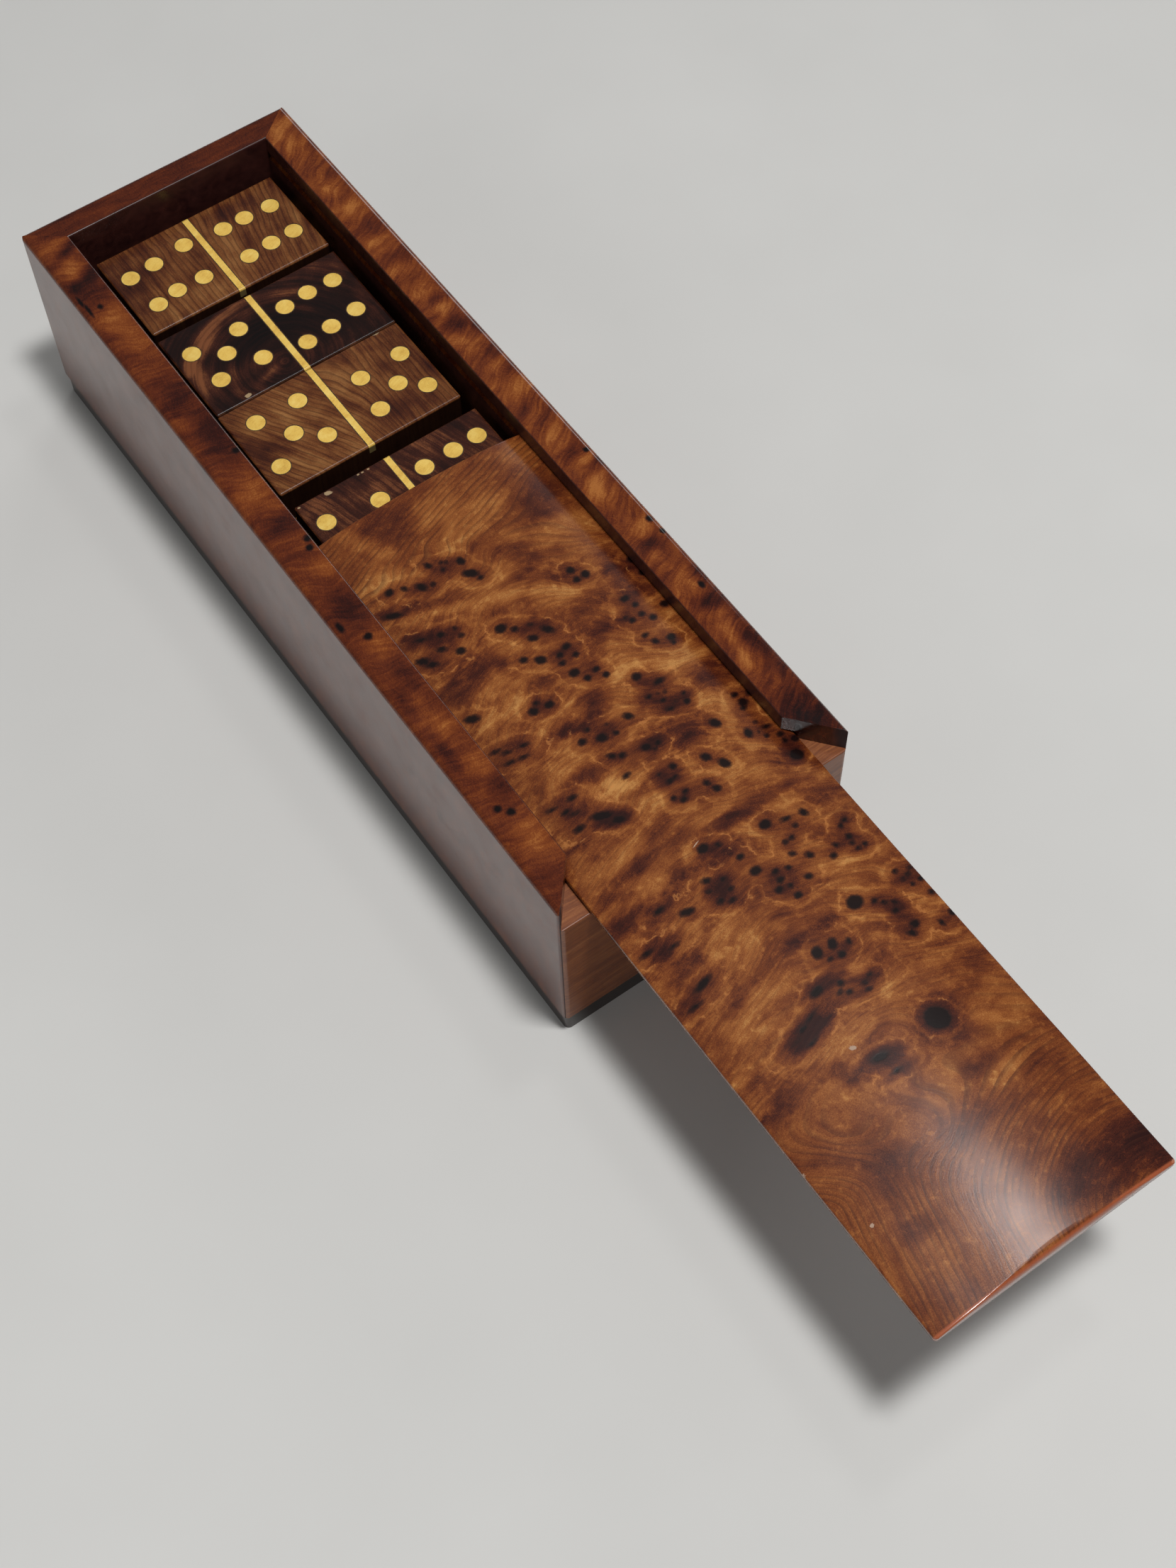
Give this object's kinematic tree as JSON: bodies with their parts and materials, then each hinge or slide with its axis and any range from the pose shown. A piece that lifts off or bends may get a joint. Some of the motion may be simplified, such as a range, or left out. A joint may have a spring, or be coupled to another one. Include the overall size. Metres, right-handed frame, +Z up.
{
  "type": "domino storage box",
  "caption": "Long mitred wooden box with a crowned sliding lid pulled half out over its lowered front wall, holding a set of inlaid dominoes in stacks.",
  "frame": {"origin": "middle of the underside of the base board", "axes": "+Z up, +Y along the box towards the rear wall, +X to the right seen from the front; the lid pulls out along -Y"},
  "size_m": [0.066, 0.2988, 0.05],
  "materials": {
    "dark_board": "dark brown, satin varnish",
    "burl_rail": "reddish brown burl, glossy",
    "dark_burl": "dark red-brown burl, glossy",
    "plain_front": "straight grained, satin",
    "burl_lid": "honey brown burl, glossy",
    "domino_brown": "brown, polished",
    "domino_dark": "very dark brown, polished",
    "pale_inlay": "lemon yellow wood, satin"
  },
  "bodies": {
    "box": {"base_board": "dark_board", "left_wall": "burl_rail", "right_wall": "burl_rail", "rear_wall": "dark_burl", "front_wall": "plain_front", "domino_6_6": "domino_brown", "domino_5_6": "domino_dark", "domino_5_5": "domino_brown", "domino_4_6": "domino_dark", "domino_4_5": "domino_brown", "domino_4_4": "domino_dark", "domino_3_6": "domino_brown", "domino_3_5": "domino_brown", "domino_3_4": "domino_dark", "domino_3_3": "domino_brown", "domino_2_6": "domino_dark", "domino_2_5": "domino_brown", "domino_2_4": "domino_dark", "domino_2_3": "domino_brown", "domino_2_2": "domino_brown", "domino_1_6": "domino_dark", "domino_1_5": "domino_brown", "domino_1_4": "domino_dark", "domino_1_3": "domino_brown", "domino_1_2": "domino_dark", "domino_1_1": "domino_brown", "domino_0_6": "domino_brown", "domino_0_5": "domino_dark", "domino_0_4": "domino_brown", "domino_0_3": "domino_dark", "domino_0_2": "domino_brown", "domino_0_1": "domino_dark", "domino_0_0": "domino_brown", "inlays_1": "pale_inlay", "inlays_2": "pale_inlay", "inlays_3": "pale_inlay", "inlays_4": "pale_inlay", "inlays_5": "pale_inlay", "inlays_6": "pale_inlay", "inlays_7": "pale_inlay"},
    "lid": {"lid": "burl_lid"}
  },
  "joints": [
    {"name": "lid_slide", "type": "slide", "parent": "box", "child": "lid", "axis": [0, -1, 0], "range_m": [-0.098, 0.093]}
  ]
}
